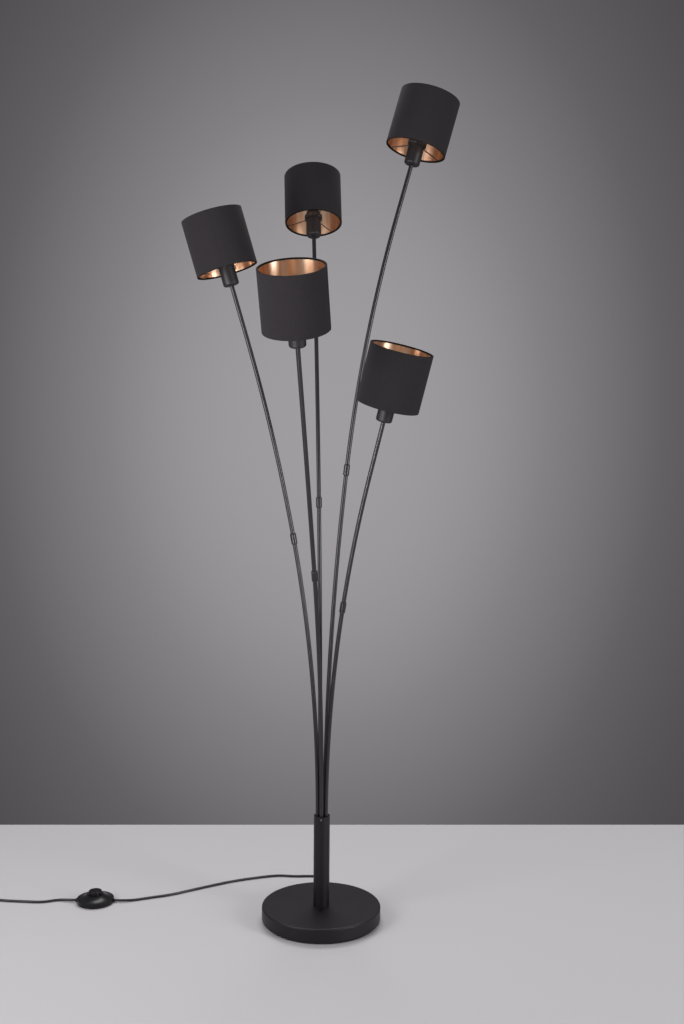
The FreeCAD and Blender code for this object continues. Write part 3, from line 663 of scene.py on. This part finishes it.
def tieMesh():
    bm = bmesh.new()
    near, far, low, high = tie["near"], tie["far"], tie["low"], tie["high"]
    corners = [(near, low), (far, low), (far, high), (near, high)]
    points = [bm.verts.new((-tie["width"] / 2 * mm, -r * mm, z * mm)) for r, z in corners]
    edges = [bm.edges.new(pair) for pair in zip(points, points[1:] + points[:1])]
    bmesh.ops.bevel(bm, geom=points, offset=tie["corner"] * mm, offset_type="OFFSET", segments=6,
                    profile=0.5, affect="VERTICES", clamp_overlap=True, material=-1)
    grown = bmesh.ops.extrude_edge_only(bm, edges=bm.edges[:])["geom"]
    moved = [g for g in grown if isinstance(g, bmesh.types.BMVert)]
    bmesh.ops.translate(bm, verts=moved, vec=(tie["width"] * mm, 0, 0))
    bmesh.ops.recalc_face_normals(bm, faces=bm.faces)
    bmesh.ops.solidify(bm, geom=bm.faces[:], thickness=tie["thickness"] * mm)
    bmesh.ops.recalc_face_normals(bm, faces=bm.faces)
    bmesh.ops.translate(bm, verts=bm.verts, vec=(coil["x"], coil["y"], 0))
    return bm


tiePiece = addPiece("coil_tie", tieMesh(), [finishes["pad"]], "stand")
print("tie made")


# the cords themselves
lampCord = addCord("lamp_flex", lampRoute, finishes["sheath"], ["lamp_cord"])
plugCord = addCord("plug_flex", plugRoute + coilPoints() + plugTail, finishes["sheath"],
                   ["plug_cord", "cord_coil"])
print("cords made")


# the floor, seen level to its back edge. Behind that edge it falls away, out of the main view's
# sight, so that from behind the lamp still stands on a floor.
floorSize = {"colour": "#b9b7ba", "below": 0.1 * mm, "back": 0.539, "skew": 0.0264, "reach": 8.0,
             "fallRun": 8.0, "fallDrop": 3.1}


def addFloor():
    bm = bmesh.new()
    reach, back = floorSize["reach"], floorSize["back"]
    skew = floorSize["skew"] * reach
    corners = [(-reach, -reach), (reach, -reach), (reach, back + skew), (-reach, back - skew)]
    level = [bm.verts.new((x, y, -floorSize["below"])) for x, y in corners]
    bm.faces.new(level)
    farEnd = [bm.verts.new((x, y + floorSize["fallRun"], -floorSize["fallDrop"])) for x, y in corners[2:]]
    bm.faces.new([level[3], level[2], farEnd[0], farEnd[1]])
    mesh = bpy.data.meshes.new("floor")
    bm.to_mesh(mesh)
    bm.free()
    material = newMaterial("pale grey floor", {
        "Base Color": hexColour(floorSize["colour"]), "Roughness": 0.6, "Specular IOR Level": 0.3})[0]
    mesh.materials.append(material)
    floor = bpy.data.objects.new("floor", mesh)
    bpy.context.scene.collection.objects.link(floor)


# the wall's greys, by how closely a ray points to its middle (the cosine of the angle between them)
backdrop = {"middle": (-0.012, 1.0, -0.01), "flatten": 0.7, "softLight": 0.3,
            "greys": [(0.6, "#8e8c8f"), (0.86, "#737174"), (0.925, "#3c3a3d"), (0.964, "#605d60"),
                      (0.985, "#827f82"), (1.0, "#a5a2a5")]}


# the world lights softly. What the camera, gloss and glass see of it is a grey wall, brighter in
# the middle of the view along +Y, and a plain mid grey to the sides and behind.
def addWorld():
    world = bpy.data.worlds.new("studio")
    bpy.context.scene.world = world
    world.use_nodes = True
    tree = world.node_tree
    tree.nodes.clear()
    direction = addNode(tree, "TexCoord").outputs["Generated"]
    scale = (1, 1, backdrop["flatten"])
    flatter = addNode(tree, "Mapping", {"Vector": direction, "Scale": scale}).outputs[0]
    flatter = addNode(tree, "VectorMath", {0: flatter}, operation="NORMALIZE").outputs[0]
    middle = Vector(backdrop["middle"]).normalized()
    facing = addNode(tree, "VectorMath", {0: flatter, 1: middle}, operation="DOT_PRODUCT")
    ramp = addNode(tree, "ValToRGB", {"Fac": facing.outputs["Value"]})
    setStops(ramp, backdrop["greys"])
    ramp.color_ramp.interpolation = "B_SPLINE"
    seen = addNode(tree, "LightPath")
    rays = seen.outputs["Is Camera Ray"]
    for kind in ("Is Glossy Ray", "Is Transmission Ray"):
        rays = addNode(tree, "Math", {0: rays, 1: seen.outputs[kind]}, operation="MAXIMUM").outputs[0]
    soft = addNode(tree, "Background", {"Color": hexColour("#ffffff"), "Strength": backdrop["softLight"]})
    shown = addNode(tree, "Background", {"Color": ramp.outputs[0], "Strength": 1.0})
    mix = addNode(tree, "MixShader", {0: rays, 1: soft.outputs[0], 2: shown.outputs[0]})
    addNode(tree, "OutputWorld", {"Surface": mix.outputs[0]})


lamps = {
    "left": {"place": (-1.25, -1.05, 1.1), "aim": (0, 0, 1.1), "size": (0.75, 1.0),
             "watts": 20, "spread": 180},
    "right": {"place": (2.6, -1.75, 1.15), "aim": (0, 0, 1.05), "size": (0.8, 1.4),
              "watts": 58, "spread": 180},
    # reaches up into the shades that face the camera with their lower rims
    "low": {"place": (-1.0, -1.8, 0.3), "aim": (-0.2, -0.1, 1.3), "size": (0.5, 0.5),
            "watts": 2.6, "spread": 50},
    "top": {"place": (0, 1.6, 3.4), "aim": (0, 0, 0.2), "size": (2.0, 1.2),
            "watts": 62, "spread": 180},
}


def addLamps():
    for name, lamp in lamps.items():
        data = bpy.data.lights.new(name, "AREA")
        data.shape = "RECTANGLE"
        data.size, data.size_y = lamp["size"]
        data.energy = lamp["watts"]
        data.spread = math.radians(lamp["spread"])
        light = bpy.data.objects.new(name, data)
        bpy.context.scene.collection.objects.link(light)
        light.location = lamp["place"]
        aim = Vector(lamp["aim"]) - Vector(lamp["place"])
        light.rotation_euler = aim.to_track_quat("-Z", "Y").to_euler()


addFloor()
addWorld()
addLamps()
bpy.context.scene.view_settings.view_transform = "Standard"
print("stage, world and lamps made")
